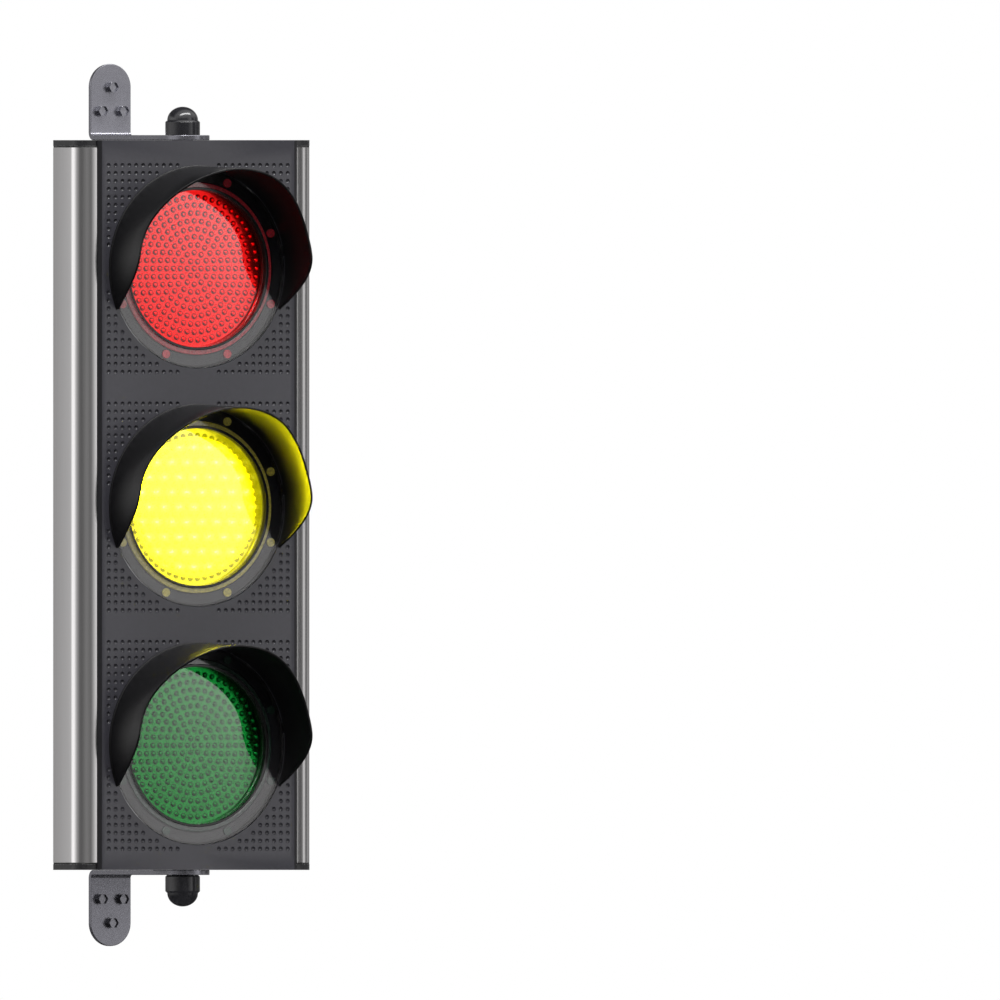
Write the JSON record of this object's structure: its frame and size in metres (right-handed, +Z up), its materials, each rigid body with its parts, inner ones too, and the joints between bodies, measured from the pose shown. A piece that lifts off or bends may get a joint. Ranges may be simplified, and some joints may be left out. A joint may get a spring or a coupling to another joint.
{
  "type": "traffic signal head",
  "caption": "Slim LED traffic signal head with hooded round lenses in an aluminium-sided box, panning between two bent wall brackets.",
  "frame": {"origin": "on the wall plane, on the back face of the top bracket's wall plate, midway between its two rows of bolts", "axes": "+Z up, +Y from the signal into the wall, the lenses face -Y, +X to the right of someone facing the lenses"},
  "size_m": [0.207, 0.1988, 0.666],
  "materials": {
    "anodised_aluminium": "satin anodised",
    "anthracite_panel": "fine satin",
    "black_cap": "satin",
    "black_rubber": "matt",
    "black_visor": "satin",
    "clear_cover": "clear, polished",
    "red_lens": "transparent, pebbled",
    "yellow_lens": "transparent, pebbled",
    "green_lens": "transparent, pebbled",
    "black_housing": "matt",
    "led_board": "white solder mask",
    "driver_board": "green solder mask",
    "terminal_grey": "satin",
    "red_wire": "satin",
    "yellow_wire": "satin",
    "green_wire": "satin",
    "grey_wire": "satin",
    "coated_steel": "satin powder coat",
    "bolt_steel": "dull plated",
    "zinc_steel": "zinc plated",
    "black_nut": "glossy moulded",
    "nylon": "natural nylon"
  },
  "bodies": {
    "top_bracket": {"top_bracket": "coated_steel", "top_wall_bolt_1": "bolt_steel", "top_wall_bolt_2": "bolt_steel", "top_wall_bolt_3": "bolt_steel"},
    "bottom_bracket": {"bottom_bracket": "coated_steel", "bottom_wall_bolt_1": "bolt_steel", "bottom_wall_bolt_2": "bolt_steel", "bottom_wall_bolt_3": "bolt_steel"},
    "top_cap_nut": {"top_cap_nut": "black_nut"},
    "bottom_cap_nut": {"bottom_cap_nut": "black_nut"},
    "head": {"left_side_profile": "anodised_aluminium", "right_side_profile": "anodised_aluminium", "front_panel": "anthracite_panel", "back_panel": "anthracite_panel", "top_end_cap": "black_cap", "bottom_end_cap": "black_cap", "top_end_gasket": "black_rubber", "bottom_end_gasket": "black_rubber", "cable_grommet": "black_rubber", "red_visor": "black_visor", "red_clear_cover": "clear_cover", "red_cover_gasket": "black_rubber", "red_pebble_lens": "red_lens", "red_lamp_housing": "black_housing", "red_led_board": "led_board", "red_lead": "red_wire", "yellow_visor": "black_visor", "yellow_clear_cover": "clear_cover", "yellow_cover_gasket": "black_rubber", "yellow_pebble_lens": "yellow_lens", "yellow_lamp_housing": "black_housing", "yellow_led_board": "led_board", "yellow_lead": "yellow_wire", "green_visor": "black_visor", "green_clear_cover": "clear_cover", "green_cover_gasket": "black_rubber", "green_pebble_lens": "green_lens", "green_lamp_housing": "black_housing", "green_led_board": "led_board", "green_lead": "green_wire", "driver_board": "driver_board", "terminal_block": "terminal_grey", "supply_lead": "grey_wire", "top_pivot_stem": "zinc_steel", "top_lock_nut": "zinc_steel", "top_cap_screw_1": "zinc_steel", "top_cap_screw_2": "zinc_steel", "top_cap_screw_3": "zinc_steel", "top_cap_screw_4": "zinc_steel", "top_friction_washer": "nylon", "bottom_pivot_stem": "zinc_steel", "bottom_lock_nut": "zinc_steel", "bottom_cap_screw_1": "zinc_steel", "bottom_cap_screw_2": "zinc_steel", "bottom_cap_screw_3": "zinc_steel", "bottom_cap_screw_4": "zinc_steel", "bottom_friction_washer": "nylon"}
  },
  "joints": [
    {"name": "head_pan", "type": "hinge", "parent": "top_bracket", "child": "head", "pos_m": [0, -0.112, -0.3065], "axis": [0, 0, 1], "range_deg": [-90, 90]},
    {"name": "bottom_bracket_swivel", "type": "hinge", "parent": "head", "child": "bottom_bracket", "pos_m": [0, -0.112, -0.5823], "axis": [0, 0, 1], "range_deg": [-90, 90]},
    {"name": "top_cap_nut_turn", "type": "hinge", "parent": "head", "child": "top_cap_nut", "pos_m": [0, -0.112, -0.0269], "axis": [0, 0, 1], "range_deg": [0, 360]},
    {"name": "bottom_cap_nut_turn", "type": "hinge", "parent": "head", "child": "bottom_cap_nut", "pos_m": [0, -0.112, -0.5861], "axis": [0, 0, -1], "range_deg": [0, 360]}
  ],
  "couplings": [
    {"joint": "bottom_bracket_swivel", "follows": "head_pan", "ratio": -1}
  ]
}
